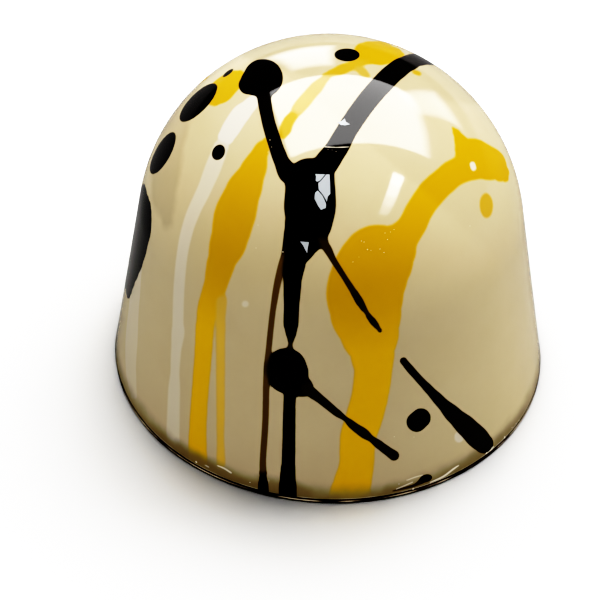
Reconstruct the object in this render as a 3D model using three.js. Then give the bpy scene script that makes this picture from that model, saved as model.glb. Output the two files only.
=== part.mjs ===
// A moulded chocolate praline: a tall glossy dome with a straight tapering wall and a round
// crown, closed underneath by a layer of dark chocolate whose thin edge shows at the foot.
// Millimetres, +Z up, with the origin at the centre of the flat underside.

import * as THREE from 'three';

// Driving dimensions
const footRadius = 14.5; // at the bottom edge, where the wall is widest
const draftDegrees = 8.5; // how far the wall leans in from plumb
const crownCentreHeight = 11.06; // the crown is a part of one sphere round this height
const closingThickness = 0.3; // the dark layer under the dome
const closingEdgeRadius = 0.12; // its lower rim is slightly rounded
const seamBevel = 0.06; // the dome's own lower rim, broken where it meets the dark layer
const sidewaysLean = -0.0168; // it stands a little off plumb: X moved for each unit of Z

// How finely the round shapes are divided
const turnSteps = 96;
const crownSteps = 20;
const rimSteps = 4;

// Worked out from the driving dimensions
const draft = THREE.MathUtils.degToRad(draftDegrees);
const crownRadius = footRadius * Math.cos(draft) - crownCentreHeight * Math.sin(draft);

// Radius of the tapering wall at a height below the crown
function wallRadius(height) {
  return footRadius - height * Math.tan(draft);
}

// Points of a round stretch in the profile plane, from one angle to another
function arcPoints(centreX, centreY, radius, fromAngle, toAngle, steps) {
  const points = [];
  for (let step = 0; step <= steps; step += 1) {
    const angle = fromAngle + ((toAngle - fromAngle) * step) / steps;
    const x = centreX + radius * Math.cos(angle);
    const y = centreY + radius * Math.sin(angle);
    points.push(new THREE.Vector2(x, y));
  }
  return points;
}

// A profile turned into a closed solid that stands along +Z with the praline's lean
function turnedSolid(profile) {
  const geometry = new THREE.LatheGeometry(profile, turnSteps);
  geometry.rotateX(Math.PI / 2);
  geometry.applyMatrix4(new THREE.Matrix4().makeShear(0, 0, 0, 0, sidewaysLean, 0));
  return geometry;
}

// The dome: ivory coated chocolate, from the dark layer up to the crown
function makeDome() {
  const bottom = closingThickness;
  const crown = arcPoints(0, crownCentreHeight, crownRadius, draft, Math.PI / 2, crownSteps);
  crown[crownSteps].x = 0; // the pole lies exactly on the axis
  const profile = [
    new THREE.Vector2(0, bottom),
    new THREE.Vector2(wallRadius(bottom) - seamBevel, bottom),
    new THREE.Vector2(wallRadius(bottom + seamBevel), bottom + seamBevel),
    ...crown,
  ];
  const ivory = new THREE.MeshStandardMaterial({ color: 0xe4dbc0, roughness: 0.15, metalness: 0 });
  const dome = new THREE.Mesh(turnedSolid(profile), ivory);
  dome.name = 'dome';
  return dome;
}

// The dark closing layer: a thin disc with a slightly rounded lower rim
function makeClosingLayer() {
  const rimCentre = wallRadius(closingEdgeRadius) - closingEdgeRadius;
  const rim = arcPoints(rimCentre, closingEdgeRadius, closingEdgeRadius, -Math.PI / 2, 0, rimSteps);
  const profile = [
    new THREE.Vector2(0, 0),
    ...rim,
    new THREE.Vector2(wallRadius(closingThickness), closingThickness),
    new THREE.Vector2(0, closingThickness),
  ];
  const dark = new THREE.MeshStandardMaterial({ color: 0x2b1a0e, roughness: 0.45, metalness: 0 });
  const layer = new THREE.Mesh(turnedSolid(profile), dark);
  layer.name = 'closing_layer';
  return layer;
}

const praline = new THREE.Group();
praline.name = 'praline';
praline.add(makeDome());
praline.add(makeClosingLayer());

export default praline;
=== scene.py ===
import math

import bmesh
import bpy
import numpy as np
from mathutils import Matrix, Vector
from mathutils.geometry import delaunay_2d_cdt


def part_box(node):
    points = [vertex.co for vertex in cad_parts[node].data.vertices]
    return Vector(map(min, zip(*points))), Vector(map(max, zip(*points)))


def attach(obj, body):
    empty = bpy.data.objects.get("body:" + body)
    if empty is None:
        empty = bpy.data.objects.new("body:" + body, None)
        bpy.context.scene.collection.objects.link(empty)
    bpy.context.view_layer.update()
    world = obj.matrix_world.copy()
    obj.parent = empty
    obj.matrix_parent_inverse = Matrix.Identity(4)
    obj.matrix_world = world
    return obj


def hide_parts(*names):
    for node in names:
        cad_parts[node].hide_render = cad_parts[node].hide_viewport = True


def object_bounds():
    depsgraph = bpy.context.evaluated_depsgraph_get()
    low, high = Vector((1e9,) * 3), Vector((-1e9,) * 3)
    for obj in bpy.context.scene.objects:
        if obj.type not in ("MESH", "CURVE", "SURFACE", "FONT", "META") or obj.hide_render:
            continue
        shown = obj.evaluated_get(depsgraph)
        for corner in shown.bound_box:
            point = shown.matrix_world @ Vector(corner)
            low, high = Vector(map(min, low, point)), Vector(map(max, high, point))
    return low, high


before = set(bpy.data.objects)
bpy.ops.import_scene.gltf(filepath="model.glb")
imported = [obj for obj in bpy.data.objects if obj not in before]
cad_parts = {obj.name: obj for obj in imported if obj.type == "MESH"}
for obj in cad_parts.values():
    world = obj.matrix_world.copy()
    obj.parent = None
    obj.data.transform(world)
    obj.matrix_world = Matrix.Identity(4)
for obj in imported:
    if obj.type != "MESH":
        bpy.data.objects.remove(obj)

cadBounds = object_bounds()  # the CAD model's box, before any piece is added
domeLow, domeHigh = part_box("dome")
layerLow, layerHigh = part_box("closing_layer")
mm = 0.001

# The praline's form, in millimetres, as the solids have it
form = {
    "footRadius": 14.5,
    "draft": math.radians(8.5),
    "crownCentre": 11.06,
    "seamHeight": domeLow.z / mm,
    "lean": -0.0168,  # X moved for each unit of Z
}
form["crownRadius"] = (
    form["footRadius"] * math.cos(form["draft"]) - form["crownCentre"] * math.sin(form["draft"])
)
form["shoulder"] = form["crownCentre"] + form["crownRadius"] * math.sin(form["draft"])


# Camera: the photo's own view, taken from the outline of the praline
cameraSettings = {
    "elevation": 41.58,  # degrees above the table
    "roll": 2.669,  # degrees
    "lens": 184.6,  # mm on a 36 mm sensor
    "sensor": 36.0,
    "distance": 203.0,  # mm from the aim point
    "aimHeight": 10.15,  # mm up the axis
    "aimPixel": (333.24, 237.61),  # where the aim point shows
    "frameSize": 600,
}


def cameraAxes(s):
    # eye, right, up and forward in the praline's frame, and the focal length in pixels
    elevation, roll = math.radians(s["elevation"]), math.radians(s["roll"])
    focal = s["lens"] / s["sensor"] * s["frameSize"]
    middle = s["frameSize"] / 2
    back = Vector((0, -math.cos(elevation), math.sin(elevation)))
    eye = Vector((0, 0, s["aimHeight"])) + back * s["distance"]
    right = Vector((1, 0, 0))
    up = right.cross(-back)
    offX = (s["aimPixel"][0] - middle) / focal
    offY = (middle - s["aimPixel"][1]) / focal
    turnX = math.cos(roll) * offX - math.sin(roll) * offY
    turnY = math.sin(roll) * offX + math.cos(roll) * offY
    yaw = math.atan(turnX)
    pitch = math.atan(turnY * math.cos(yaw))
    level = -back * math.cos(yaw) - right * math.sin(yaw)
    side = right * math.cos(yaw) - back * math.sin(yaw)
    ahead = level * math.cos(pitch) - up * math.sin(pitch)
    above = up * math.cos(pitch) + level * math.sin(pitch)
    rightAxis = side * math.cos(roll) + above * math.sin(roll)
    upAxis = above * math.cos(roll) - side * math.sin(roll)
    return eye, rightAxis, upAxis, ahead, focal


def newObject(name, data):
    made = bpy.data.objects.new(name, data)
    bpy.context.scene.collection.objects.link(made)
    return made


def makeCamera(s):
    eye, rightAxis, upAxis, ahead, _ = cameraAxes(s)
    data = bpy.data.cameras.new("photoCamera")
    data.sensor_fit = "HORIZONTAL"
    data.sensor_width = s["sensor"]
    data.lens = s["lens"]
    data.clip_start = 0.01
    data.clip_end = 20
    camera = newObject("photoCamera", data)
    matrix = camera.matrix_world.copy()
    for column, axis in enumerate((rightAxis, upAxis, -ahead)):
        for row in range(3):
            matrix[row][column] = axis[row]
    matrix.translation = eye * mm
    camera.matrix_world = matrix
    bpy.context.scene.camera = camera
    print("camera ready")


def photoPixels(points):
    # where points of the praline, in mm, show in the photo, and how many pixels a mm takes there
    eye, rightAxis, upAxis, ahead, focal = cameraAxes(cameraSettings)
    middle = cameraSettings["frameSize"] / 2
    ray = points - np.array(eye)
    depth = ray @ np.array(ahead)
    x = middle + focal * (ray @ np.array(rightAxis)) / depth
    y = middle - focal * (ray @ np.array(upAxis)) / depth
    return np.stack([x, y], 1), focal / depth


def oval(x, y, length, width, turn):
    # the rows of a stroke that together make an ellipse; turn is in degrees, rising to the right
    half, across = length / 2, width / 2
    reach = (half ** 2 - across ** 2) / half
    steps = 12
    rows = []
    for i in range(steps + 1):
        along = -reach * math.cos(math.pi * i / steps)
        size = across * math.sqrt(1 - along ** 2 / (half ** 2 - across ** 2))
        rows.append((x + along * math.cos(math.radians(turn)),
                     y - along * math.sin(math.radians(turn)), 2 * size))
    return rows


# The splashes, as they lie in the photo: each row is x, y and width in pixels.
# depth is how thick the film lies, from 0, clear, to 1, opaque.
blackDrips = {
    "blend": 3.0,
    "head": (1, [(264, 78, 38), (262.5, 78, 38)]),
    "headLobe": (1, [(254, 82, 26), (248, 85, 19)]),
    "headTail": (0.96, [(264, 92, 16), (264.5, 101, 14), (268, 120, 13.5), (274.5, 142, 14.5),
        (281, 160, 15.5), (288, 173, 20)]),
    "broadStreak": (1, [(437, 64, 3), (430, 61.5, 7), (420, 60, 12), (409, 63, 17), (397, 70, 20),
        (385, 81, 21), (367, 101.5, 21), (349, 127, 21), (337, 148, 22.5), (325, 165, 25),
        (314, 181, 34)]),
    "middle": (1, [(307, 176, 22), (310, 184, 50), (310, 205, 52), (309, 220, 48), (305, 233, 42),
        (301, 245, 32)]),
    "middleLeg": (1, [(299, 244, 32), (294, 262, 24), (292.5, 283, 18), (291.5, 308, 15.5),
        (291, 322, 15.5), (291, 331, 12), (291, 339, 6)]),
    "neck": (0.85, [(291, 336, 6), (290.5, 342, 4.5), (290, 352, 6)]),
    "rightLeg": (0.85, [(317, 237, 17), (326.5, 247.5, 9), (334, 261, 6.5), (343, 275, 6),
        (357, 297, 7), (369, 316, 4.5), (380, 330.5, 4.5)]),
    "legBeadUpper": (0.92, [(355, 294, 5), (359, 301, 7), (363, 308, 5)]),
    "legBeadLower": (0.92, [(369, 317, 4.5), (373, 321.5, 6.5), (376, 325, 5)]),
    "leftThread": (0.72, [(286, 248, 5), (281, 267, 7), (276.5, 288, 7), (272.5, 314, 6),
        (269, 346, 6), (266.5, 375, 6.5), (265.5, 419, 6.5), (263, 458, 6.5), (263, 472, 7)]),
    "threadFoot": (0.97, [(263, 474, 6.5), (263, 480, 8.5), (263.2, 485, 10.5), (263.5, 494, 11)]),
    "lowerBlob": (1, [(286, 369, 42), (287, 372, 42), (297, 384, 25)]),
    "beadThread": (0.9, [(302, 386, 20), (311, 392, 11), (322, 400.5, 9), (336, 412, 8),
        (345, 418.5, 5.5), (353, 425.5, 8.5), (363.5, 433, 10), (371.5, 439, 7), (379.5, 445, 9),
        (387.5, 451, 9.5), (394, 455.5, 10.5)]),
    "column": (1, [(290, 388, 12), (289.5, 405, 12.5), (289, 430, 13), (288.5, 460, 13.5),
        (288, 470, 15), (287.7, 479, 16), (287.7, 488, 18), (287.7, 497, 18)]),
    "ovalUpper": (1, oval(198.4, 102.6, 51, 18, 45.9)),
    "ovalMiddle": (1, oval(162.8, 153.1, 47, 15.5, 61.9)),
    "ovalLong": (1, [(144.5, 194, 3), (143, 200, 12), (141, 207, 20), (140, 214, 23),
        (139, 222, 25), (138, 231, 26), (135.5, 248, 23), (133.5, 262, 19), (131.5, 273, 14.5),
        (130, 282, 10), (129, 291, 6), (128.5, 297, 3)]),
    "leftDot": (1, oval(218.5, 152.3, 16.5, 12.5, 65)),
    "leftDash": (1, oval(228, 73, 13, 3.8, 37.5)),
    "topDot": (1, oval(347, 54.9, 25.5, 13, -1)),
    "rightDot": (1, [(416.5, 422, 20), (421, 418, 19.5)]),
    "rimDot": (1, oval(426, 478.3, 12.5, 8, 15)),
    "rimDotTail": (0.85, [(421, 481.5, 5), (414, 485.5, 3), (405, 488, 2.6), (393, 491, 1.6)]),
    "rightStreak": (0.95, [(403.5, 361, 7.5), (411, 370, 8), (420, 380, 8), (430, 390.5, 9.5),
        (441, 402, 12), (454.5, 415.5, 17), (467, 427, 21), (477, 437, 22.5), (483.5, 443.5, 20)]),
}
yellowDrips = {
    "blend": 3.0,
    "leftBody": (0.97, [(266, 140, 6), (260.5, 152, 17), (252.5, 172, 27), (243, 192, 36),
        (235, 215, 42), (229, 240, 38), (221.5, 262, 29), (215.5, 285, 24), (209, 305, 22),
        (205.2, 325, 19), (203.8, 345, 18), (202, 370, 17.5), (199.5, 400, 17), (198, 425, 17.5),
        (197.5, 445, 18.5), (198, 462, 19)]),
    "leftThin": (0.64, [(219, 300, 16), (220.5, 322, 10), (220.5, 350, 9.5), (220.5, 394, 9),
        (220.5, 420, 8.5), (220.5, 440, 8), (221, 464, 9)]),
    "leftPatch": (0.95, [(214, 99, 15), (222, 90.5, 24), (232, 81.5, 21), (240, 76, 12)]),
    "topPatch": (1, [(363, 52, 19), (370, 52.5, 23), (380, 53.2, 24), (393, 55, 17),
        (402, 55.5, 6)]),
    "topTail": (0.9, [(368, 60, 8), (360, 62.5, 9), (352, 65.5, 10), (342, 69.5, 11), (332, 73, 8),
        (325, 75.5, 5)]),
    "paleBand": (0.7, [(326, 78, 8), (316, 88, 13), (303, 103, 14), (298, 109, 13)]),
    "bandEnd": (0.95, [(294, 115, 10), (289, 121, 12), (285.5, 129, 13), (283, 135, 9)]),
    "spike": (1, [(453, 128, 3), (457, 134, 8), (462, 143, 14), (470, 153, 24)]),
    "rightHead": (1, [(463, 149, 17), (474, 156, 35), (488, 163, 33), (499, 171.5, 19),
        (505, 178.5, 8)]),
    "rightArm": (1, [(486, 167, 24), (470, 167, 28), (455, 172.5, 28), (443.5, 181.5, 28),
        (432, 192.5, 29), (420.5, 208.5, 28), (411.5, 226, 29), (402, 238, 32)]),
    "rightBody": (1, [(402, 240, 30), (389, 252, 52), (376, 262, 73), (369, 277, 77),
        (365, 292, 78), (365.5, 310, 72), (369, 330, 60), (372, 350, 45), (373, 372, 38),
        (370, 395, 37), (364, 418, 37), (358, 438, 36), (356.5, 465, 35), (352, 485, 38),
        (350, 496, 42)]),
    "rightOval": (0.85, oval(486.3, 205.5, 25.5, 14, -88)),
    "bitLeft": (0.75, [(357, 68, 6), (363, 72, 9), (368, 75.5, 5)]),
    "bitRight": (0.9, [(414, 72, 4.5), (419, 73.5, 5)]),
}
paleDrips = {
    "blend": 2.0,
    "leftTop": (0.85, [(256, 98, 10), (249, 106, 14), (240, 115, 18), (232, 127, 18),
        (226, 137, 16)]),
    "leftLong": (0.5, [(221, 147, 15), (213, 168, 16), (204, 190, 14), (194, 211, 13),
        (187, 231, 12), (182, 256, 11), (179, 288, 11), (178, 320, 11), (178, 333, 13),
        (176, 352, 10), (175, 371, 9), (174, 394, 12), (173, 432, 13), (173, 450, 14)]),
    "rightSpot": (0.6, [(459, 436, 9), (459, 438, 9)]),
    "leftSpot": (0.5, [(245, 304, 6.5), (245.5, 304, 6.5)]),
    "headHole": (0.8, [(472.5, 164.5, 5.5), (473.5, 168, 5.5)]),
    # a pale band painted down the left edge of the shown side
    "leftEdge": (0.34, [(139, 268, 6), (134.5, 300, 10), (131.5, 340, 12), (131, 372, 10),
        (134, 396, 6)]),
}
# Where the coat is worn thin at the foot and the dark chocolate shows, partly painted shade near
# the table, with painted shade on the left shoulder as well; and where it is chipped, with painted
# glints
wearAndShadeDrips = {
    "blend": 3.0,
    "farLeft": (0.75, [(128, 402, 5), (140, 420, 7), (158, 438, 12), (170, 449, 13)]),
    "left": (0.8, [(176, 447, 9), (188, 456, 12), (200, 464, 15), (212, 471, 17)]),
    "leftFront": (0.8, [(220, 474, 14), (236, 482, 13), (252, 487, 13), (268, 490, 15)]),
    "front": (0.75, [(264, 486, 18), (276, 489, 18), (292, 491, 18), (306, 494, 12)]),
    "rightFront": (0.7, [(388, 491, 6), (402, 489, 8), (416, 486, 7), (440, 480, 8), (458, 470, 8),
        (474, 460, 9), (484, 453, 8)]),
    "right": (0.8, [(498, 441, 6), (512, 427, 5), (524, 411, 4)]),
    # painted shade: the left shoulder is darkened where less light falls on it
    "shoulder": (0.32, [(197, 86, 6), (184, 108, 16), (174, 135, 24), (167, 165, 28),
        (164, 195, 24), (167, 222, 10)]),
}
chipAndGlintDrips = {
    "blend": 0.5,
    # the coat's bright edge lines at the right front: partly a chipped edge, partly a painted glint
    "edgeLine": (1, [(430, 482.5, 1.2), (443, 476.7, 1.8), (453, 469.3, 1.8), (458.5, 465.5, 1.2)]),
    "upperLine": (0.8, [(407, 480.3, 1), (415, 477.2, 1.2), (423, 475, 1)]),
    "lowerLine": (0.8, [(396.5, 489, 1), (405, 485.5, 1.2), (413, 482, 1)]),
    "scratch": (0.9, [(217, 465.5, 1), (224, 468.3, 1.6), (231, 472.8, 1.6)]),
    "leftScratch": (0.7, [(205, 465, 1), (209, 467.3, 1.2)]),
    # painted glints round the end of the right streak
    "streakEnd": (1, [(486.7, 453.6, 1.8), (490, 451.5, 1.5), (493.3, 446.7, 1.5)]),
    "threadEnd": (0.6, [(269, 480, 1), (269.4, 484, 1)]),
    # painted highlight along the edge of the softbox's reflection on the broad streak
    "streakLine": (0.8, [(325, 146.8, 1), (337, 147.6, 1.1), (349, 146.6, 1)]),
}

# The same splashes go on round the side that the photo doesn't show: each row is the azimuth in
# degrees from the shown side, the height and the width in mm.
blackBack = {
    "blend": 0.2,
    "ovalLong": (1, [(-80, 13.4, 3.4), (-81, 13, 4.2), (-82.3, 12, 4.8), (-83, 11, 4.9),
        (-84.5, 9.5, 4.3), (-86.5, 8, 3.4), (-88.5, 6.5, 2.2), (-90, 5.4, 0.9)]),
    "broadStreak": (1, [(139.3, 20.3, 1.9), (142, 19.8, 2.1), (146, 18.9, 2.0), (149, 17.6, 1.9),
        (151, 15.5, 1.6), (150, 13, 1.2), (149, 9.5, 0.6), (148, 6.5, 0.5), (147, 4.2, 0.9)]),
    "upperDab": (1, [(-140, 20.2, 1.2), (-142, 19.2, 1.5), (-143, 18.2, 1.2)]),
    "sideDab": (1, [(112, 9.4, 0.9), (113.5, 8.5, 1.2), (114.5, 7.6, 1.0)]),
    "longThread": (0.95, [(-168, 17.4, 1.15), (-168.2, 16.9, 1.2), (-168.8, 15.9, 0.6),
        (-169.5, 14, 0.35), (-170, 11, 0.35), (-170.5, 6, 0.4), (-171, 3.5, 0.75),
        (-171, 3.1, 0.85)]),
}
yellowBack = {
    "blend": 0.3,
    "topPatch": (0.9, [(151, 20.9, 1.5), (156, 20.4, 1.7), (163, 19.4, 1.8), (169, 17.4, 1.6),
        (172, 14, 1.2), (171, 8, 1.0), (171, 4.5, 1.3)]),
    "leftRun": (0.9, [(-118, 19.5, 0.6), (-121, 17.5, 1.7), (-123, 14.5, 2.1), (-124, 11, 1.4),
        (-124, 6, 0.9), (-124, 2.5, 1.0)]),
}
paleBack = {
    "blend": 0.2,
    "longRun": (0.5, [(-150, 19, 0.8), (-152, 12, 0.8), (-152, 3, 1.0)]),
}
smearBack = {
    "blend": 0.3,
    "left": (0.7, [(-96, 0.5, 0.6), (-112, 0.7, 1.0), (-128, 0.5, 0.7), (-141, 0.6, 0.5)]),
    "behind": (0.75, [(195, 0.6, 0.7), (178, 0.8, 1.3), (165, 0.5, 0.9), (154, 0.5, 0.5)]),
    "right": (0.6, [(96, 0.5, 0.5), (110, 0.6, 0.8), (126, 0.5, 0.6)]),
}
chipBack = {
    "blend": 0.05,
    "behind": (0.9, [(172, 1.5, 0.08), (180, 1.6, 0.13), (186, 1.35, 0.08)]),
    "left": (0.8, [(-106, 1.3, 0.08), (-114, 1.35, 0.12), (-119, 1.1, 0.08)]),
}


def smoothPath(rows, step):
    # a curve through all rows, as a list of points no further apart than step
    rows = np.asarray(rows, float)
    padded = np.vstack([2 * rows[0] - rows[1], rows, 2 * rows[-1] - rows[-2]])
    parts = []
    for i in range(len(rows) - 1):
        before, start, end, after = padded[i:i + 4]
        count = max(2, int(math.ceil(np.linalg.norm(end[:-1] - start[:-1]) / step)))
        t = np.linspace(0, 1, count, endpoint=False)[:, None]
        curve = 0.5 * (2 * start + (end - before) * t
                       + (2 * before - 5 * start + 4 * end - after) * t ** 2
                       + (3 * start - before - 3 * end + after) * t ** 3)
        ease = t * t * (3 - 2 * t)
        curve[:, -1] = (start[-1] + (end[-1] - start[-1]) * ease)[:, 0]
        parts.append(curve)
    parts.append(rows[-1:])
    return np.vstack(parts)


def distanceToStroke(points, centres, radii, reach):
    # signed distance to a row of round dabs joined up, and the direction straight away from it
    distance = np.full(len(points), reach)
    direction = np.zeros_like(points)
    low = centres.min(0) - radii.max() - reach
    high = centres.max(0) + radii.max() + reach
    near = np.nonzero(((points >= low) & (points <= high)).all(1))[0]
    if len(near) == 0:
        return distance, direction
    close = points[near]
    best = np.full(len(close), reach)
    away = np.zeros_like(close)
    for i in range(len(centres) - 1):
        start, run = centres[i], centres[i + 1] - centres[i]
        t = np.clip((close - start) @ run / max(run @ run, 1e-12), 0, 1)
        offset = close - (start + t[:, None] * run)
        length = np.linalg.norm(offset, axis=1)
        gap = length - (radii[i] + t * (radii[i + 1] - radii[i]))
        closer = gap < best
        best[closer] = gap[closer]
        away[closer] = offset[closer] / np.maximum(length[closer], 1e-9)[:, None]
    distance[near] = best
    direction[near] = away
    return distance, direction


def joinStrokes(points, strokes, place, step, reach):
    # all strokes of one colour as one smooth film: distance, direction and film depth at each point
    blend = strokes["blend"]
    total = np.full(len(points), reach)
    depth = np.zeros(len(points))
    direction = np.zeros_like(points)
    for name, stroke in strokes.items():
        if name == "blend":
            continue
        centres, radii = place(smoothPath(stroke[1], step))
        distance, away = distanceToStroke(points, centres, radii, reach)
        weight = np.clip(0.5 + 0.5 * (total - distance) / blend, 0, 1)
        depth += (stroke[0] - depth) * weight
        closer = distance < total
        direction[closer] = away[closer]
        joined = total + (distance - total) * weight - blend * weight * (1 - weight)
        total = np.where((total < reach) & (distance < reach), joined, np.minimum(total, distance))
    return total, direction, depth


def pixelPlace(path):
    return path[:, :2], path[:, 2] / 2


def surfacePoint(azimuth, height):
    # a point of the praline's skin in mm: azimuth 0 is the shown side, 90 the photo's right
    height = np.asarray(height, float)
    wall = form["footRadius"] - height * math.tan(form["draft"])
    crown = np.sqrt(np.maximum(form["crownRadius"] ** 2 - (height - form["crownCentre"]) ** 2, 0))
    radius = np.where(height < form["shoulder"], wall, crown)
    angle = np.radians(azimuth)
    x = radius * np.sin(angle) + form["lean"] * height
    return np.stack([x, -radius * np.cos(angle), height], -1)


def sidePlace(path):
    return surfacePoint(path[:, 0], path[:, 1]), path[:, 2] / 2


paintSettings = {
    "pixelStep": 2.0,  # how closely a stroke in the photo is followed
    "sideStep": 3.0,
    "pixelReach": 14.0,  # no film is looked for further off than this
    "sideReach": 1.0,
    "edgeStart": 0.0,  # facing at which the photo's own strokes begin to count, and count fully
    "edgeFull": 0.03,
    "leastSlope": 0.15,
}


def paintFilm(mesh, name, points, normals, shown, around):
    # distance inside the film in mm and the film's depth, kept on the mesh's points
    s = paintSettings
    pixels, scale = photoPixels(points)
    eye, rightAxis, upAxis, _, _ = cameraAxes(cameraSettings)
    toEye = np.array(eye) - points
    toEye /= np.linalg.norm(toEye, axis=1)[:, None]
    facing = (normals * toEye).sum(1)
    flat, away, flatDepth = joinStrokes(pixels, shown, pixelPlace, s["pixelStep"], s["pixelReach"])
    slope = away[:, :1] * np.array(rightAxis) - away[:, 1:] * np.array(upAxis)
    slope -= (slope * normals).sum(1)[:, None] * normals
    steep = np.maximum(np.linalg.norm(slope, axis=1), s["leastSlope"])
    flat = np.clip(flat / (scale * steep), -s["sideReach"], s["sideReach"])
    flat[facing < 0] = s["sideReach"]
    solid, _, solidDepth = joinStrokes(points, around, sidePlace, s["sideStep"], s["sideReach"])
    share = np.clip((facing - s["edgeStart"]) / (s["edgeFull"] - s["edgeStart"]), 0, 1)
    flat = s["sideReach"] + (flat - s["sideReach"]) * share
    inside = -np.minimum(solid, flat)
    depth = np.where(flat <= solid, flatDepth, solidDepth)
    for label, values in ((name, inside), (name + "Depth", depth)):
        layer = mesh.attributes.new(label, "FLOAT", "POINT")
        layer.data.foreach_set("value", values.astype(np.float32))


# Small helpers for node trees
def link(tree, source, target):
    tree.links.new(source, target)


def feed(tree, socket, value):
    if isinstance(value, bpy.types.NodeSocket):
        link(tree, value, socket)
    else:
        socket.default_value = value


def newNode(tree, kind, inputs, **settings):
    # inputs are sockets or plain values, by the name or the number of the node's own socket
    node = tree.nodes.new(kind)
    for name, value in settings.items():
        setattr(node, name, value)
    for name, value in inputs.items():
        feed(tree, node.inputs[name], value)
    return node


def maths(operation):
    # a sum in the tree that its first socket belongs to
    def run(*values):
        tree = [value for value in values if isinstance(value, bpy.types.NodeSocket)][0].id_data
        inputs = dict(enumerate(values))
        return newNode(tree, "ShaderNodeMath", inputs, operation=operation).outputs[0]
    return run


add, subtract, multiply, divide = map(maths, ("ADD", "SUBTRACT", "MULTIPLY", "DIVIDE"))
sine, cosine, tangent, arcTangent = map(maths, ("SINE", "COSINE", "TANGENT", "ARCTAN2"))
larger, smaller, greater, less = map(maths, ("MAXIMUM", "MINIMUM", "GREATER_THAN", "LESS_THAN"))
multiplyAdd, power, absolute = map(maths, ("MULTIPLY_ADD", "POWER", "ABSOLUTE"))


def combine(tree, x, y, z):
    return newNode(tree, "ShaderNodeCombineXYZ", {0: x, 1: y, 2: z}).outputs[0]


def newInput(tree, name, kind, value=None):
    socket = tree.interface.new_socket(name, in_out="INPUT", socket_type=kind)
    if value is not None:
        socket.default_value = value
    return socket.identifier


def startTree(name, floats, counts, geometry=""):
    # a Geometry Nodes tree, the identifiers of its inputs by name, and their sockets
    tree = bpy.data.node_groups.new(name, "GeometryNodeTree")
    keys = {}
    for kind, labels in (
        ("Geometry", geometry), ("Float", floats), ("Int", counts), ("Material", "Material"),
    ):
        for label in filter(None, labels.split(", ")):
            keys[label] = newInput(tree, label, "NodeSocket" + kind)
    tree.interface.new_socket("Mesh", in_out="OUTPUT", socket_type="NodeSocketGeometry")
    return tree, keys, tree.nodes.new("NodeGroupInput").outputs


def joinAll(tree, parts):
    join = tree.nodes.new("GeometryNodeJoinGeometry")
    for part in parts:
        link(tree, part, join.inputs[0])
    return join.outputs[0]


def finishTree(tree, geometry, material):
    real = newNode(tree, "GeometryNodeRealizeInstances", {0: geometry}).outputs[0]
    finish = newNode(tree, "GeometryNodeSetMaterial", {"Geometry": real, "Material": material})
    newNode(tree, "NodeGroupOutput", {0: finish.outputs[0]})


# The dome: one closed skin laid out by a rule, finer at the foot and on the shown side
domeSettings = {
    "turnCells": 480,  # cells round the wall, a multiple of 8
    "wallCells": 139,
    "footCells": 23,
    "capArc": 9.0,  # mm of the crown, from the top, laid out as a square net
    "footArc": 1.0,  # mm up from the seam with the fine rows
    "frontShare": 0.3,  # how much finer the shown side is
    "seamBevel": 0.04,
    "mergeDistance": 2e-7,
}


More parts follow.
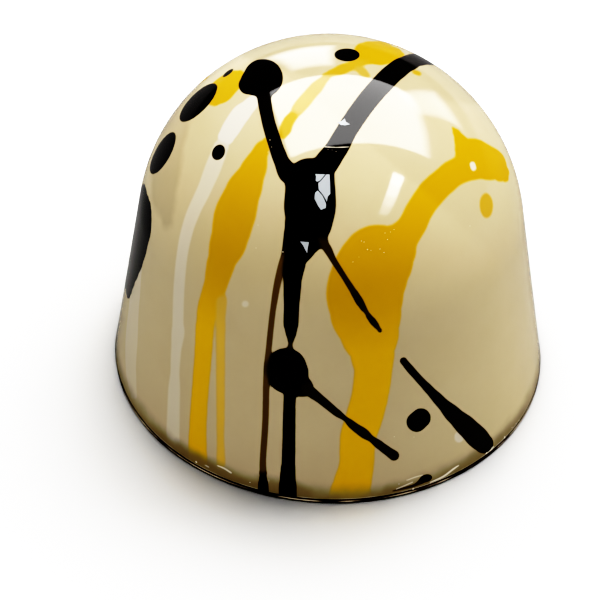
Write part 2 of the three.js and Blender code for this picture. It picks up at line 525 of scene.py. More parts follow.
def buildSkinTree():
    tree, keys, given = startTree(
        "domeSkin",
        "Foot Radius, Draft, Crown Centre, Seam Height, Seam Bevel, Lean, Cap Arc, Foot Arc, "
        "Front Share, Merge Distance",
        "Turn Cells, Wall Cells, Foot Cells",
    )
    draft, footRadius, crownCentre = given["Draft"], given["Foot Radius"], given["Crown Centre"]
    seam, bevel, turnCells = given["Seam Height"], given["Seam Bevel"], given["Turn Cells"]
    wallCells, footCells, footArc = given["Wall Cells"], given["Foot Cells"], given["Foot Arc"]
    cosDraft, sinDraft, tanDraft = cosine(draft), sine(draft), tangent(draft)
    crownRadius = subtract(multiply(footRadius, cosDraft), multiply(crownCentre, sinDraft))
    wallStart = add(seam, bevel)
    shoulder = multiplyAdd(crownRadius, sinDraft, crownCentre)
    wallArc = divide(subtract(shoulder, wallStart), cosDraft)
    fullArc = multiplyAdd(crownRadius, subtract(math.pi / 2, draft), wallArc)
    sideArc = subtract(fullArc, given["Cap Arc"])

    def axisOf(name):
        position = tree.nodes.new("GeometryNodeInputPosition").outputs[0]
        return newNode(tree, "ShaderNodeSeparateXYZ", {0: position}).outputs[name]

    def around(radius, angle, height):
        # a point at that angle, with the shown side's cells drawn together, and the lean
        turned = subtract(angle, multiply(given["Front Share"], sine(angle)))
        x = multiplyAdd(height, given["Lean"], multiply(radius, sine(turned)))
        y = multiply(multiply(radius, cosine(turned)), -1.0)
        return combine(tree, x, y, height)

    def onProfile(arc, angle):
        # arc runs up the wall and over the crown
        pastWall = subtract(arc, wallArc)
        onCrown = greater(pastWall, 0.0)
        wallHeight = multiplyAdd(arc, cosDraft, wallStart)
        wallRadius = subtract(footRadius, multiply(wallHeight, tanDraft))
        turn = add(divide(pastWall, crownRadius), draft)
        crownX = multiply(crownRadius, cosine(turn))
        crownZ = multiplyAdd(crownRadius, sine(turn), crownCentre)

        def pick(low, high):
            return multiplyAdd(subtract(high, low), onCrown, low)

        return around(pick(wallRadius, crownX), angle, pick(wallHeight, crownZ))

    def moved(mesh, position):
        values = {"Geometry": mesh, "Position": position}
        return newNode(tree, "GeometryNodeSetPosition", values).outputs[0]

    def grid(size, columns, rows):
        values = {"Size X": size, "Size Y": size, "Vertices X": columns, "Vertices Y": rows}
        return newNode(tree, "GeometryNodeMeshGrid", values).outputs["Mesh"]

    # wall and lower crown: a net of columns and rows, with fine rows at the foot
    columns = add(turnCells, 1.0)
    rows = add(wallCells, footCells)
    row = multiply(add(axisOf("Y"), 0.5), rows)
    footRow = smaller(divide(row, footCells), 1.0)
    wallShare = larger(divide(subtract(row, footCells), wallCells), 0.0)
    arc = multiplyAdd(wallShare, subtract(sideArc, footArc), multiply(footRow, footArc))
    column = multiply(axisOf("X"), 2 * math.pi)
    side = moved(grid(1.0, columns, add(rows, 1.0)), onProfile(arc, column))

    # top of the crown: a square net drawn into rings, so that no cells crowd at the pole
    x, y = axisOf("X"), axisOf("Y")
    sizeX, sizeY = absolute(x), absolute(y)
    mostlyX = greater(sizeX, sizeY)
    longer = multiplyAdd(mostlyX, subtract(x, y), y)
    shorter = multiplyAdd(mostlyX, subtract(y, x), x)
    eighth = multiply(divide(shorter, longer), math.pi / 4)
    signed = multiplyAdd(mostlyX, -2.0, 1.0)
    quarter = multiply(mostlyX, math.pi / 2)
    half = multiply(less(longer, 0.0), math.pi)
    capAngle = add(multiplyAdd(eighth, signed, quarter), half)
    capArc = subtract(fullArc, multiply(larger(sizeX, sizeY), given["Cap Arc"]))
    capSide = add(divide(turnCells, 4.0), 1.0)
    cap = moved(grid(2.0, capSide, capSide), onProfile(capArc, capAngle))

    # underside of the dome, and the bevelled band at its lower edge
    circle = newNode(tree, "GeometryNodeMeshCircle", {"Vertices": turnCells, "Radius": 1.0},
                     fill_type="TRIANGLE_FAN").outputs["Mesh"]
    reach = add(power(axisOf("X"), 2.0), power(axisOf("Y"), 2.0))
    turnedBy = arcTangent(axisOf("X"), multiply(axisOf("Y"), -1.0))
    lowRadius = subtract(footRadius, multiplyAdd(seam, tanDraft, bevel))
    under = moved(circle, around(multiply(lowRadius, reach), turnedBy, seam))
    bandRow = add(axisOf("Y"), 0.5)
    highRadius = subtract(footRadius, multiply(wallStart, tanDraft))
    bandRadius = multiplyAdd(bandRow, subtract(highRadius, lowRadius), lowRadius)
    bandHeight = multiplyAdd(bandRow, bevel, seam)
    edge = moved(grid(1.0, columns, 2), around(bandRadius, column, bandHeight))

    skin = joinAll(tree, (side, cap, under, edge))
    merge = newNode(tree, "GeometryNodeMergeByDistance",
                    {"Geometry": skin, "Distance": given["Merge Distance"]})
    smooth = newNode(tree, "GeometryNodeSetShadeSmooth", {"Geometry": merge.outputs[0]})
    finishTree(tree, smooth.outputs[0], given["Material"])
    return tree, keys


def runTree(name, tree, keys, values, start=None):
    # the tree's result as a plain mesh object, with the modifier gone
    carrier = newObject(name + "Maker", start or bpy.data.meshes.new(name + "Maker"))
    modifier = carrier.modifiers.new(name, "NODES")
    modifier.node_group = tree
    for key, value in values.items():
        modifier[keys[key]] = value
    carrier.data.update()
    ready = carrier.evaluated_get(bpy.context.evaluated_depsgraph_get())
    mesh = bpy.data.meshes.new_from_object(ready)
    mesh.name = name
    carrier.modifiers.clear()
    bpy.data.objects.remove(carrier)
    piece = newObject(name, mesh)
    return piece


def outwardNormals(mesh):
    work = bmesh.new()
    work.from_mesh(mesh)
    bmesh.ops.remove_doubles(work, verts=work.verts, dist=domeSettings["mergeDistance"])
    bmesh.ops.recalc_face_normals(work, faces=work.faces)
    work.to_mesh(mesh)
    work.free()


def meshArrays(mesh):
    # the points in mm and their normals
    points = np.empty(len(mesh.vertices) * 3, np.float32)
    mesh.vertices.foreach_get("co", points)
    normals = np.empty(len(mesh.vertices) * 3, np.float32)
    mesh.vertices.foreach_get("normal", normals)
    return points.reshape(-1, 3).astype(float) / mm, normals.reshape(-1, 3).astype(float)


def makeDome(material):
    s = domeSettings
    tree, keys = buildSkinTree()
    dome = runTree("coatedDome", tree, keys, {
        "Foot Radius": form["footRadius"] * mm, "Draft": form["draft"],
        "Crown Centre": form["crownCentre"] * mm, "Seam Height": form["seamHeight"] * mm,
        "Seam Bevel": s["seamBevel"] * mm, "Lean": form["lean"], "Cap Arc": s["capArc"] * mm,
        "Foot Arc": s["footArc"] * mm, "Front Share": s["frontShare"],
        "Merge Distance": s["mergeDistance"], "Turn Cells": s["turnCells"],
        "Wall Cells": s["wallCells"], "Foot Cells": s["footCells"], "Material": material,
    })
    outwardNormals(dome.data)
    points, normals = meshArrays(dome.data)
    for name, shown, around in (
        ("blackFilm", blackDrips, blackBack), ("yellowFilm", yellowDrips, yellowBack),
        ("paleFilm", paleDrips, paleBack), ("wearAndShadeFilm", wearAndShadeDrips, smearBack),
        ("chipAndGlintFilm", chipAndGlintDrips, chipBack),
    ):
        paintFilm(dome.data, name, points, normals, shown, around)
    print("dome ready:", len(dome.data.polygons), "faces")
    return dome


def skinUnder(dome, x, y):
    # where the photo's pixel x, y lies on the dome, in metres, and the normal there
    eye, rightAxis, upAxis, ahead, focal = cameraAxes(cameraSettings)
    middle = cameraSettings["frameSize"] / 2
    ray = ahead * focal + rightAxis * (x - middle) + upAxis * (middle - y)
    found, place, normal, _ = dome.ray_cast(eye * mm, ray.normalized())
    if not found:
        raise ValueError(f"the dome doesn't show at pixel {x}, {y}")
    return place, normal


# Crumbs and bright specks: most of those that the photo shows, and more on the hidden side
# the crumbs and specks are real bumps; their near-white colour is partly a painted glint
crumbSettings = {
    "shown": [  # x, y and width in pixels
        (196.3, 462, 3.4), (250, 482.5, 1.6), (504.5, 437.5, 4.2), (486.5, 453.2, 3.2),
        (457, 466.5, 1.8), (413.3, 488.8, 3.2), (394.2, 436.7, 1.3), (407, 480, 1.4),
        (399, 484, 1.2), (490, 450.5, 1.8), (493.5, 447, 1.4), (519, 420.5, 1.8),
        (516, 423.5, 1.4), (512, 427.5, 1.2), (225, 469.2, 1.2), (283, 252, 1.8), (364, 242, 1.3),
        (367.5, 249.5, 1.5), (361.5, 241, 1.1), (385, 233, 1.2), (387.5, 239.5, 1.3),
        (390.5, 232, 1.1), (380, 249, 1.2), (384, 252.5, 1.2), (371, 250.5, 1.0), (353, 262, 1.0),
        (359, 257, 0.9), (394, 229.5, 1.0), (270, 140, 1.2), (271.5, 147, 0.9), (268, 152, 0.9),
        (258, 225, 1.1), (256, 248, 1.0), (470, 226, 1.1), (414, 437, 1.1), (332, 150, 1.0),
        (336, 151.5, 1.0), (328, 149.5, 0.9),
    ],
    "scattered": 46,
    "seed": 7,
    "smallest": 0.018,  # mm across its half
    "largest": 0.042,
    "lowest": 0.46,  # mm above the table
    "highest": 1.3,
    "hidden": (100, 260),  # degrees round from the shown side, where they are scattered
    "flattest": 0.75,  # share of its half width that a crumb keeps at its thinnest
    "sink": 0.45,  # share of a crumb's half width that lies under the skin
}


def buildCrumbTree():
    tree, keys, given = startTree(
        "crumbs", "Smallest, Largest, Lowest, Highest, Sink, Foot Radius, Draft, Lean",
        "Scattered, Seed", "Specks",
    )

    def chance(low, high, shift):
        seed = add(given["Seed"], float(shift))
        return newNode(tree, "FunctionNodeRandomValue", {2: low, 3: high, "Seed": seed},
                       data_type="FLOAT").outputs[1]

    # scattered round the foot, most of them low down; the shown side keeps its own crumbs
    rise = power(chance(0.0, 1.0, 1), 2.0)
    height = multiplyAdd(rise, subtract(given["Highest"], given["Lowest"]), given["Lowest"])
    half = chance(given["Smallest"], given["Largest"], 2)
    radius = subtract(given["Foot Radius"], multiply(height, tangent(given["Draft"])))
    radius = subtract(radius, multiply(half, given["Sink"]))
    start, end = crumbSettings["hidden"]
    angle = chance(math.radians(start), math.radians(end), 3)
    x = multiplyAdd(height, given["Lean"], multiply(radius, sine(angle)))
    y = multiply(multiply(radius, cosine(angle)), -1.0)
    points = newNode(tree, "GeometryNodePoints", {
        "Count": given["Scattered"], "Position": combine(tree, x, y, height), "Radius": half})
    size = newNode(tree, "GeometryNodeInputNamedAttribute", {"Name": "half"}, data_type="FLOAT")
    specks = newNode(tree, "GeometryNodeMeshToPoints", {
        "Mesh": given["Specks"], "Radius": size.outputs["Attribute"]})
    both = joinAll(tree, (points.outputs[0], specks.outputs[0]))

    ball = newNode(tree, "GeometryNodeMeshIcoSphere", {"Radius": 1.0, "Subdivisions": 3})
    turn = [chance(0.0, 2 * math.pi, 4 + index) for index in range(3)]
    own = tree.nodes.new("GeometryNodeInputRadius").outputs[0]
    shape = [multiply(own, chance(crumbSettings["flattest"], 1.0, 8 + index)) for index in range(3)]
    copies = newNode(tree, "GeometryNodeInstanceOnPoints", {
        "Points": both, "Instance": ball.outputs["Mesh"],
        "Rotation": combine(tree, *turn), "Scale": combine(tree, *shape)})
    finishTree(tree, copies.outputs[0], given["Material"])
    return tree, keys


def makeCrumbs(dome, material):
    s = crumbSettings
    places, halves = [], []
    for x, y, width in s["shown"]:
        place, normal = skinUnder(dome, x, y)
        _, scale = photoPixels(np.array([place]) / mm)
        half = width / 2 / scale[0] * mm
        across = math.hypot(place.x - form["lean"] * place.z, place.y)
        room = max(0.0, form["footRadius"] * mm - across)
        sink = half * s["sink"] + max(0.0, half - half * s["sink"] - room)
        places.append(place - normal * sink)
        halves.append(half)
    specks = bpy.data.meshes.new("specks")
    specks.from_pydata(places, [], [])
    layer = specks.attributes.new("half", "FLOAT", "POINT")
    layer.data.foreach_set("value", halves)
    tree, keys = buildCrumbTree()
    crumbs = runTree("coatCrumbs", tree, keys, {
        "Scattered": s["scattered"], "Seed": s["seed"], "Smallest": s["smallest"] * mm,
        "Largest": s["largest"] * mm, "Lowest": s["lowest"] * mm, "Highest": s["highest"] * mm,
        "Sink": s["sink"], "Foot Radius": form["footRadius"] * mm, "Draft": form["draft"],
        "Lean": form["lean"], "Material": material,
    }, specks)
    crumbs.data.shade_smooth()
    outwardNormals(crumbs.data)
    print("crumbs ready:", len(crumbs.data.polygons), "faces")
    return crumbs


# Thin bright flakes on the black splash, given by their corners in pixels: painted reflections, a
# lamp's glare broken up on the film
flakeSettings = {
    "outlines": [
        [(315, 174), (325.5, 174.2), (320.3, 180.3), (317.6, 181.8), (315.6, 181), (316, 176)],
        [(326.4, 174.3), (329.6, 174.4), (330.1, 181), (330.4, 194), (328, 196.2), (326.9, 202),
         (323.2, 195.2), (318.6, 189.6), (318.2, 183), (321, 180.8)],
        [(317.8, 190.4), (322.6, 195.8), (326.2, 203.8), (326, 208), (321, 210), (318, 206),
         (314.4, 199), (315, 192.8)],
        [(300, 241.4), (309, 242), (308, 248), (307.2, 253.4), (305, 249.5), (303, 245.5)],
        [(337, 122.5), (342, 121), (344.5, 118.5), (346, 122), (350, 124.5),
         (345, 125.5), (341, 125)],
    ],
    "lift": 0.012,  # mm above the skin
    "thickness": 0.03,
    "net": 2.5,  # pixels between the points inside a flake
}


def makeFlakes(dome, material):
    s = flakeSettings
    points, faces = [], []
    for outline in s["outlines"]:
        corners = [Vector(corner) for corner in outline]
        low = Vector((min(c.x for c in corners), min(c.y for c in corners)))
        high = Vector((max(c.x for c in corners), max(c.y for c in corners)))
        inner = []
        for i in range(1, int((high.x - low.x) / s["net"])):
            for j in range(1, int((high.y - low.y) / s["net"])):
                inner.append(Vector((low.x + i * s["net"], low.y + j * s["net"])))
        border = [list(range(len(corners)))]
        flat, _, triangles, *_ = delaunay_2d_cdt(corners + inner, [], border, 1, 1e-4)
        start, count = len(points), len(flat)
        above, below = [], []
        for x, y in flat:
            place, normal = skinUnder(dome, x, y)
            above.append(place + normal * s["lift"] * mm)
            below.append(place + normal * (s["lift"] - s["thickness"]) * mm)
        points += above + below
        seen = {}
        for a, b, c in triangles:
            faces.append((start + a, start + b, start + c))
            faces.append((start + count + c, start + count + b, start + count + a))
            for edge in ((a, b), (b, c), (c, a)):
                seen[edge] = seen.get(edge, 0) + 1
        for a, b in seen:
            if (b, a) not in seen:
                faces.append((start + b, start + a, start + count + a, start + count + b))
    mesh = bpy.data.meshes.new("paintedGlareFlakes")
    mesh.from_pydata(points, [], faces)
    mesh.materials.append(material)
    flakes = newObject("paintedGlareFlakes", mesh)
    outwardNormals(mesh)
    print("flakes ready:", len(mesh.polygons), "faces")
    return flakes


# Colours as they read in an sRGB picture, 0 to 255
def colour(red, green, blue):
    def channel(value):
        value /= 255
        return value / 12.92 if value <= 0.04045 else ((value + 0.055) / 1.055) ** 2.4
    return (channel(red), channel(green), channel(blue), 1.0)


coatColours = {
    "ivory": colour(218, 203, 169),
    "ivoryOther": colour(213, 197, 160),
    "footBrown": colour(160, 145, 112),
    "yellowThin": colour(218, 185, 100),
    # yellowLow and yellowHigh: painted shade, the yellow darker high up where the light falls
    # strongest
    "yellowLow": colour(238, 197, 63),
    "yellowHigh": colour(206, 168, 52),
    "ivoryGloss": 0.85,
    "yellowGloss": 0.1,
    "blackGloss": 0.5,
    "paleFilm": colour(240, 234, 222),
    "wearAndShade": colour(150, 134, 104),
    "chipAndGlint": colour(250, 242, 222),
    "paintedGlare": colour(193, 197, 200),
    "blackThin": colour(134, 112, 72),
    "blackThick": colour(20, 14, 12),
}


layerColours = {
    "dark": colour(34, 20, 12),
    "worn": colour(62, 40, 26),
    # a painted glint line round the lip, between lineLow and lineHigh mm up
    "paintedGlint": colour(240, 226, 200),
    "lineLow": 0.13,  # mm above the table
    "lineHigh": 0.215,
    "lineSoft": 0.03,
    "lineNoise": (420.0, 4.0),
    "lineRange": (0.38, 0.62),
    "roughness": 0.16,
    "mottle": (500.0, 1.0, 0.12),
}


def newMaterial(name, roughness, ior=1.45):
    material = bpy.data.materials.new(name)
    material.use_nodes = True
    tree = material.node_tree
    shader = tree.nodes["Principled BSDF"]
    shader.inputs["Roughness"].default_value = roughness
    shader.inputs["IOR"].default_value = ior
    return material, tree, shader


def attribute(tree, name):
    node = tree.nodes.new("ShaderNodeAttribute")
    node.attribute_name = name
    return node.outputs["Fac"]


def ramp(tree, value, low, high):
    values = {"Value": value, "From Min": low, "From Max": high}
    return newNode(tree, "ShaderNodeMapRange", values,
                   interpolation_type="SMOOTHSTEP").outputs["Result"]


def mixColour(tree, share, first, second):
    values = {0: share, 6: first, 7: second}
    return newNode(tree, "ShaderNodeMix", values, data_type="RGBA").outputs[2]


def noise(tree, vector, scale, detail=2.0):
    values = {"Vector": vector, "Scale": scale, "Detail": detail}
    return newNode(tree, "ShaderNodeTexNoise", values).outputs["Fac"]


def objectCoordinates(tree):
    place = tree.nodes.new("ShaderNodeTexCoord").outputs["Object"]
    split = tree.nodes.new("ShaderNodeSeparateXYZ")
    link(tree, place, split.inputs[0])
    return place, split.outputs


mottleSettings = {
    "cloud": (0.3, 0.7),  # of the noise, from the first colour to the other
    "cloudDetail": 4.0,
    "rippleScale": 450.0,
    "rippleDetail": 3.0,
    "rippleDepth": 0.0002,
}


def buildMottleGroup():
    # a soft unevenness of the chocolate's colour and surface, shared by the coat and the dark layer
    s = mottleSettings
    tree = bpy.data.node_groups.new("chocolateMottle", "ShaderNodeTree")
    grey = (0.5, 0.5, 0.5, 1.0)
    for name, kind, value in (
        ("Colour", "Color", grey), ("Other Colour", "Color", grey), ("Cloud Scale", "Float", 300.0),
        ("Amount", "Float", 0.5), ("Ripple", "Float", 0.1),
    ):
        newInput(tree, name, "NodeSocket" + kind, value)
    tree.interface.new_socket("Colour", in_out="OUTPUT", socket_type="NodeSocketColor")
    tree.interface.new_socket("Normal", in_out="OUTPUT", socket_type="NodeSocketVector")
    given = tree.nodes.new("NodeGroupInput").outputs
    place, _ = objectCoordinates(tree)
    cloud = noise(tree, place, given["Cloud Scale"], s["cloudDetail"])
    share = multiply(ramp(tree, cloud, *s["cloud"]), given["Amount"])
    bump = newNode(tree, "ShaderNodeBump", {
        "Strength": given["Ripple"], "Distance": s["rippleDepth"],
        "Height": noise(tree, place, s["rippleScale"], s["rippleDetail"])})
    newNode(tree, "NodeGroupOutput", {
        "Colour": mixColour(tree, share, given["Colour"], given["Other Colour"]),
        "Normal": bump.outputs[0]})
    return tree


def mottled(tree, group, colours, scale, amount, ripple):
    node = newNode(tree, "ShaderNodeGroup", {}, node_tree=group)
    for name, value in (("Colour", colours[0]), ("Other Colour", colours[1]),
                        ("Cloud Scale", scale), ("Amount", amount), ("Ripple", ripple)):
        node.inputs[name].default_value = value
    return node.outputs["Colour"], node.outputs["Normal"]


coatSettings = {
    "roughness": 0.06,
    "ior": 1.5,
    "mottle": (220.0, 0.5, 0.02),  # scale, amount and ripple
    # noise that moves a mask's edge: its scale, its detail and how far it moves it in all, in mm
    "filmNoise": (1500.0, 2.0, 0.06),
    "footNoise": (420.0, 4.0, 1.2),
    "wearAndShadeNoise": (900.0, 4.0, 0.5),
    # where a mask starts and where it is full: mm inside a film, or mm above the table
    "yellowEdge": (-0.08, 0.08),
    "yellowBody": (-0.02, 0.16),
    "yellowHeight": (11.0, 17.0),
    "paleEdge": (-0.09, 0.09),
    "footBare": (0.2, 1.9),
    "wearAndShadeEdge": (-0.45, 0.35),
    "blackEdge": (-0.035, 0.04),
    "blackBody": (-0.03, 0.06),
    "blackDepth": (0.6, 1.0),  # of the film's depth
    "chipAndGlintEdge": (-0.03, 0.03),
    # the coat's paler lower edge, partly a broken edge and partly a painted glint line: its height
    # in mm, its noise and how strongly it shows
    "brokenAndGlintHeight": 0.1,
    "brokenAndGlintNoise": (500.0, 3.0),
    "brokenAndGlintRange": (0.3, 0.65),
    "brokenAndGlintShare": 0.6,
}


def makeCoatMaterial(mottleGroup):
    s, c = coatSettings, coatColours
    material, tree, shader = newMaterial("ivoryCoat", s["roughness"], s["ior"])
    place, axes = objectCoordinates(tree)
    height = multiply(axes["Z"], 1 / mm)
    skin, normal = mottled(tree, mottleGroup, (c["ivory"], c["ivoryOther"]), *s["mottle"])
    link(tree, normal, shader.inputs["Normal"])

    def wander(name):
        scale, detail, spread = s[name]
        return multiplyAdd(noise(tree, place, scale, detail), spread, -spread / 2)

    def cover(film, inside, edge):
        return multiply(ramp(tree, inside, *s[edge]), attribute(tree, film + "Depth"))

    # yellow film: paler where it thins out to its edge
    wobble = wander("filmNoise")
    yellowInside = add(attribute(tree, "yellowFilm"), wobble)
    yellowCover = cover("yellowFilm", yellowInside, "yellowEdge")
    # painted shade: the yellow is darker high up, where the light falls strongest, and lighter low
    # down
    rise = ramp(tree, height, *s["yellowHeight"])
    yellowShadedByHeight = mixColour(tree, rise, c["yellowLow"], c["yellowHigh"])
    yellow = mixColour(tree, ramp(tree, yellowInside, *s["yellowBody"]), c["yellowThin"], yellowShadedByHeight)
    skin = mixColour(tree, yellowCover, skin, yellow)

    # faint pale film
    pale = cover("paleFilm", attribute(tree, "paleFilm"), "paleEdge")
    skin = mixColour(tree, pale, skin, c["paleFilm"])

    # the coat thins out towards the foot and the dark chocolate shows through; the smear film
    # darkens it further, partly as painted shade near the table, and paints shade on the left
    # shoulder
    bare = subtract(1.0, ramp(tree, add(height, wander("footNoise")), *s["footBare"]))
    skin = mixColour(tree, bare, skin, c["footBrown"])
    wearAndShade = cover("wearAndShadeFilm", add(attribute(tree, "wearAndShadeFilm"), wander("wearAndShadeNoise")), "wearAndShadeEdge")
    skin = mixColour(tree, wearAndShade, skin, c["wearAndShade"])

    # the coat's lower edge is paler: partly its broken edge, partly a painted glint line along the
    # seam
    edgeHigh = form["seamHeight"] + domeSettings["seamBevel"]
    edge = subtract(1.0, ramp(tree, height, edgeHigh, edgeHigh + s["brokenAndGlintHeight"]))
    worn = ramp(tree, noise(tree, place, *s["brokenAndGlintNoise"]), *s["brokenAndGlintRange"])
    skin = mixColour(tree, multiply(multiply(edge, worn), s["brokenAndGlintShare"]), skin, c["chipAndGlint"])

    # black film: brown where it is thin
    blackInside = add(attribute(tree, "blackFilm"), multiply(wobble, 0.5))
    blackCover = ramp(tree, blackInside, *s["blackEdge"])
    solid = multiply(ramp(tree, blackInside, *s["blackBody"]),
                     ramp(tree, attribute(tree, "blackFilmDepth"), *s["blackDepth"]))
    black = mixColour(tree, solid, c["blackThin"], c["blackThick"])
    skin = mixColour(tree, blackCover, skin, black)

    # the ivory is the glossiest, then the black, and the yellow is nearly matt
    gloss = multiplyAdd(yellowCover, c["yellowGloss"] - c["ivoryGloss"], c["ivoryGloss"])
    gloss = multiplyAdd(blackCover, subtract(c["blackGloss"], gloss), gloss)
    link(tree, gloss, shader.inputs["Specular IOR Level"])

    # chipped edges of the coat, with painted glints at the right streak's end and a painted
    # highlight along the lamp's reflection on the broad streak
    chipAndGlint = cover("chipAndGlintFilm", attribute(tree, "chipAndGlintFilm"), "chipAndGlintEdge")
    link(tree, mixColour(tree, chipAndGlint, skin, c["chipAndGlint"]), shader.inputs["Base Color"])
    return material


def makeBrightMaterial(name, tone, roughness):
    material, _, shader = newMaterial(name, roughness)
    shader.inputs["Base Color"].default_value = tone
    return material


def makeLayerMaterial(mottleGroup):
    c = layerColours
    material, tree, shader = newMaterial("darkChocolate", c["roughness"])
    tone, normal = mottled(tree, mottleGroup, (c["dark"], c["worn"]), *c["mottle"])
    # a paler broken line round the lip: a painted glint, where the lip's edge would catch the light
    place, axes = objectCoordinates(tree)
    height = multiply(axes["Z"], 1 / mm)
    low, high, soft = c["lineLow"], c["lineHigh"], c["lineSoft"]
    above = ramp(tree, height, low - soft, low)
    below = subtract(1.0, ramp(tree, height, high, high + soft))
    broken = ramp(tree, noise(tree, place, *c["lineNoise"]), *c["lineRange"])
    paintedGlint = multiply(multiply(above, below), broken)
    link(tree, mixColour(tree, paintedGlint, tone, c["paintedGlint"]), shader.inputs["Base Color"])
    link(tree, normal, shader.inputs["Normal"])
    return material


# The dark layer under the dome: a thin disc whose lip stands a hair proud of the seam
layerSettings = {
    "turnCells": 360,
    "edgeRadius": 0.12,
    "lipRadius": 0.05,
    "proud": 0.02,
    "arcSteps": 8,
    "rings": 24,
}


def turnProfile(name, rows, turnCells, material):
    # a closed skin from rows of (radius, height) in mm; a radius of 0 makes a pole
    points, faces, starts = [], [], []
    for radius, height in rows:
        starts.append(len(points))
        count = turnCells if radius > 0 else 1
        for k in range(count):
            angle = 2 * math.pi * k / turnCells
            x = radius * math.sin(angle) + form["lean"] * height
            points.append((x * mm, -radius * math.cos(angle) * mm, height * mm))
    for i in range(len(rows) - 1):
        low, high = starts[i], starts[i + 1]
        for k in range(turnCells):
            after = (k + 1) % turnCells
            if rows[i][0] == 0:
                faces.append((low, high + after, high + k))
            elif rows[i + 1][0] == 0:
                faces.append((low + k, low + after, high))
            else:
                faces.append((low + k, low + after, high + after, high + k))
    mesh = bpy.data.meshes.new(name)
    mesh.from_pydata(points, [], faces)
    mesh.materials.append(material)
    mesh.shade_smooth()
    piece = newObject(name, mesh)
    outwardNormals(mesh)
    return piece


def makeClosingLayer(material):
    s = layerSettings
    top = form["seamHeight"]
    outer = form["footRadius"] - s["edgeRadius"] * math.tan(form["draft"])
    rows = [(0, 0.0)]
    for i in range(1, s["rings"] + 1):
        rows.append(((outer - s["edgeRadius"]) * i / s["rings"], 0.0))
    for i in range(1, s["arcSteps"] + 1):
        turn = math.pi / 2 * i / s["arcSteps"]
        rows.append((outer - s["edgeRadius"] + s["edgeRadius"] * math.sin(turn),
                     s["edgeRadius"] - s["edgeRadius"] * math.cos(turn)))
    lip = form["footRadius"] - top * math.tan(form["draft"]) + s["proud"]
    for i in range(s["arcSteps"] + 1):
        turn = math.pi / 2 * i / s["arcSteps"]
        rows.append((lip - s["lipRadius"] + s["lipRadius"] * math.cos(turn),
                     top - s["lipRadius"] + s["lipRadius"] * math.sin(turn)))
    rows.append((0, top))
    layer = turnProfile("closingLayer", rows, s["turnCells"], material)
    print("closing layer ready")
    return layer


# Light: one large softbox behind and above, and two small lamps in front. Each hangs level, and its
# place and size are given as shares of its height above the praline. glow lights matt surfaces
# and shine is what glossy ones mirror.
lightSettings = {
    "ceiling": 0.45,  # m above the crown
    "softbox": {"centre": (0.33, 0.735), "size": (1.88, 1.28), "turn": 15, "shine": 7.5},
    "overhead": {"centre": (0.45, 0.735), "size": (1.88, 1.28), "turn": 15, "glow": 4.7},
    "softboxFade": 0.16,  # share of the softbox's width, at its right end, that dims in steps
    "fadeSteps": 8,
    "strip": {"centre": (0.795, -0.495), "size": (0.19, 0.66), "turn": 0, "glow": 0.88,
              "shine": 15.0},
    "lamp": {"centre": (0.16, -0.55), "size": (0.13, 0.5), "turn": 4, "glow": 0.5},
    "stripFade": (0.85, 0.62, 0.38, 0.2),  # along the strip, from its far end to its near one
    # two more softboxes, upright behind the praline; turn and elevation as seen from the crown
    "rearBoxes": [
        {"turn": 189, "elevation": 17, "size": (0.19, 0.32), "shine": 5.2},
        {"turn": 142, "elevation": 23, "size": (0.18, 0.34), "shine": 4.2},
    ],
    "rearSteps": 5,
    "rearShrink": 0.45,  # share of its size that the last panel falls short of
    "rearNearer": 0.01,  # share of the distance that each panel stands nearer
    "shineNearer": 0.97,  # so that the two halves of a lamp don't lie in one plane
    "fillDistance": 0.6,  # m to the four fill walls, which stand round the praline
    "fillRise": 0.3,  # m that they stand high
    "fill": {"Front": 1.7, "Left": 1.15, "Right": 0.5, "Back": 0.5},
    "roof": 0.11,
    "roomGlow": 0.1,
    "roomShine": 0.2,
    "backdrop": 3.0,  # the room as the camera sees it, past the floor's edge
    "floorHalf": 3.0,  # m from the middle of the floor to its edge
    "floorSeen": 1.8,
    # painted contact shadow: ambient occlusion darkens the floor's colour near the praline
    "contactReach": 0.02,  # m round the praline where the floor looks darker
    "contactDepth": 1.22,
    "contactSamples": 8,
    "floorGlow": 0.6,
    "floorShine": 0.35,
}


def newLamp(name, place, turn, size, radiance, unseen):
    data = bpy.data.lights.new(name, "AREA")
    data.shape = "RECTANGLE"
    data.size, data.size_y = size
    data.energy = radiance * 4 * size[0] * size[1]
    lamp = newObject(name, data)
    lamp.location = place
    lamp.rotation_euler = turn
    lamp.visible_camera = False
    setattr(lamp, "visible_" + unseen, False)
    return lamp


def makeAreaLight(name, box, ceiling, use, unseen):
    # one that hangs level and lights everything
    place = (box["centre"][0] * ceiling, box["centre"][1] * ceiling, cadBounds[1].z + ceiling)
    size = (box["size"][0] * ceiling, box["size"][1] * ceiling)
    newLamp(name, place, (0, 0, math.radians(box["turn"])), size, box[use], unseen)


def fadingSoftbox(s):
    # the softbox as panels side by side, the last ones dimmer and dimmer
    box, steps = s["softbox"], s["fadeSteps"]
    turn = math.radians(box["turn"])
    width, depth = box["size"]
    panels = [(-0.5, 0.5 - s["softboxFade"], 1.0)]
    for i in range(steps):
        start = 0.5 - s["softboxFade"] * (1 - i / steps)
        panels.append((start, start + s["softboxFade"] / steps, 1 - (i + 0.5) / steps))
    for low, high, share in panels:
        middle = (low + high) / 2 * width
        centre = (box["centre"][0] + middle * math.cos(turn),
                  box["centre"][1] + middle * math.sin(turn))
        yield {"centre": centre, "size": ((high - low) * width, depth), "turn": box["turn"],
               "shine": box["shine"] * share}


def fadingStrip(s):
    # the strip as panels end to end, dimmer towards its near end
    box, shares = s["strip"], s["stripFade"]
    width, depth = box["size"]
    length = depth / len(shares)
    for i, share in enumerate(shares):
        along = depth / 2 - (i + 0.5) * length
        yield {"centre": (box["centre"][0], box["centre"][1] + along), "size": (width, length),
               "turn": box["turn"], "shine": box["shine"] * share}


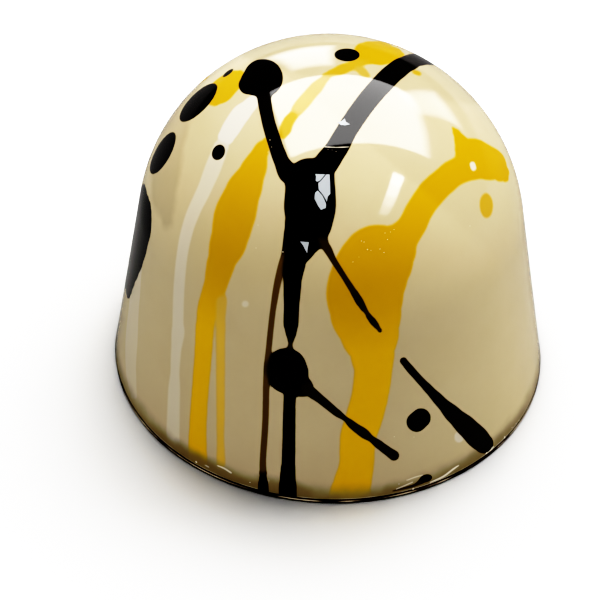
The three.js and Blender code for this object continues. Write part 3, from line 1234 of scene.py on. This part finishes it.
def makeRearBox(s, box, pieces):
    # panels one before the other, each smaller, so that what they mirror fades to its edges
    angle = math.radians(box["turn"])
    for i in range(s["rearSteps"]):
        share = 1 - s["rearShrink"] * i / s["rearSteps"]
        near = s["fillDistance"] * (1 - s["rearNearer"] * i)
        height = cadBounds[1].z + near * math.tan(math.radians(box["elevation"]))
        place = (near * math.sin(angle), -near * math.cos(angle), height)
        size = (box["size"][0] * share, box["size"][1] * share)
        makeFillLight("rearShine", place, (math.pi / 2, 0, angle), size,
                      box["shine"] / s["rearSteps"], pieces, "diffuse")


def makeFillLight(name, place, turn, size, radiance, pieces, unseen="glossy"):
    # light on the praline alone
    lamp = newLamp(name, place, turn, size, radiance, unseen)
    lamp.light_linking.receiver_collection = pieces


def makeLights(pieces):
    s = lightSettings
    nearer = s["ceiling"] * s["shineNearer"]
    for name in ("overhead", "strip", "lamp"):
        makeAreaLight(name + "Glow", s[name], s["ceiling"], "glow", "glossy")
    for panel in fadingSoftbox(s):
        makeAreaLight("softboxShine", panel, nearer, "shine", "diffuse")
    for panel in fadingStrip(s):
        makeAreaLight("stripShine", panel, nearer, "shine", "diffuse")
    for box in s["rearBoxes"]:
        makeRearBox(s, box, pieces)
    far = s["fillDistance"]
    wallSize = (2 * far, s["fillRise"])
    for name, turn in (("Front", 0), ("Right", 90), ("Back", 180), ("Left", 270)):
        angle = math.radians(turn)
        place = (far * math.sin(angle), -far * math.cos(angle), s["fillRise"] / 2)
        makeFillLight("fill" + name, place, (math.pi / 2, 0, angle), wallSize,
                      s["fill"][name], pieces)
    makeFillLight("fillRoof", (0, 0, far), (0, 0, 0), (2 * far, 2 * far), s["roof"], pieces)
    world = bpy.data.worlds.new("studio")
    bpy.context.scene.world = world
    world.use_nodes = True
    tree = world.node_tree
    background = tree.nodes["Background"]
    path = tree.nodes.new("ShaderNodeLightPath").outputs
    room = multiplyAdd(path["Is Glossy Ray"], s["roomShine"] - s["roomGlow"], s["roomGlow"])
    backdrop = multiply(path["Is Camera Ray"], s["backdrop"])
    link(tree, larger(room, backdrop), background.inputs["Strength"])
    background.inputs["Color"].default_value = (1, 1, 1, 1)
    print("lights ready")


def makeFloor():
    s = lightSettings
    size = s["floorHalf"]
    mesh = bpy.data.meshes.new("floor")
    mesh.from_pydata([(-size, -size, 0), (size, -size, 0), (size, size, 0), (-size, size, 0)],
                     [], [(0, 1, 2, 3)])
    floor = newObject("floor", mesh)
    material = bpy.data.materials.new("paleFloor")
    material.use_nodes = True
    tree = material.node_tree
    tree.nodes.remove(tree.nodes["Principled BSDF"])
    path = tree.nodes.new("ShaderNodeLightPath").outputs
    # painted contact shadow: ambient occlusion darkens the floor's colour near the praline
    corner = newNode(tree, "ShaderNodeAmbientOcclusion", {"Distance": s["contactReach"]},
                     samples=s["contactSamples"])
    clear = power(corner.outputs["AO"], s["contactDepth"])
    tone = multiplyAdd(path["Is Glossy Ray"], s["floorShine"] - s["floorGlow"], s["floorGlow"])
    seen = multiplyAdd(clear, s["floorSeen"], -s["floorGlow"])
    tone = multiplyAdd(path["Is Camera Ray"], seen, tone)
    matt = newNode(tree, "ShaderNodeBsdfDiffuse", {"Color": tone})
    link(tree, matt.outputs[0], tree.nodes["Material Output"].inputs["Surface"])
    mesh.materials.append(material)
    print("floor ready")


# The photo's contrast: deep blacks, full middle tones and a soft shoulder up to white
toneSettings = {
    "white": 2.2,  # the light that comes out as white
    "points": [  # light, and how bright it is shown
        (0.05, 0.0005), (0.1, 0.003), (0.15, 0.01), (0.2, 0.028), (0.3, 0.092), (0.45, 0.2),
        (0.6, 0.345), (0.8, 0.53), (1.0, 0.69), (1.3, 0.84), (1.55, 0.925), (1.8, 0.97),
    ],
}


def setColours():
    view = bpy.context.scene.view_settings
    view.view_transform = "Standard"
    view.look = "None"
    view.use_curve_mapping = True
    mapping = view.curve_mapping
    mapping.white_level = (toneSettings["white"],) * 3
    curve = mapping.curves[3]
    for light, shown in toneSettings["points"]:
        curve.points.new(light / toneSettings["white"], shown)
    mapping.update()


makeCamera(cameraSettings)
mottleGroup = buildMottleGroup()
coatMaterial = makeCoatMaterial(mottleGroup)
layerMaterial = makeLayerMaterial(mottleGroup)
dome = makeDome(coatMaterial)
closingLayer = makeClosingLayer(layerMaterial)
crumbs = makeCrumbs(dome, makeBrightMaterial("crumbAndGlintBright", coatColours["chipAndGlint"], 0.25))
# painted reflection: the flakes' pale grey stands in for a lamp's glare on the black film
flakes = makeFlakes(dome, makeBrightMaterial("paintedGlareBright", coatColours["paintedGlare"], 0.3))
praline = bpy.data.collections.new("praline")
for piece in (dome, closingLayer, crumbs, flakes):
    praline.objects.link(piece)
makeLights(praline)
makeFloor()
setColours()

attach(dome, "root")
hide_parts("dome")
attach(closingLayer, "root")
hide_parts("closing_layer")
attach(crumbs, "root")
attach(flakes, "root")
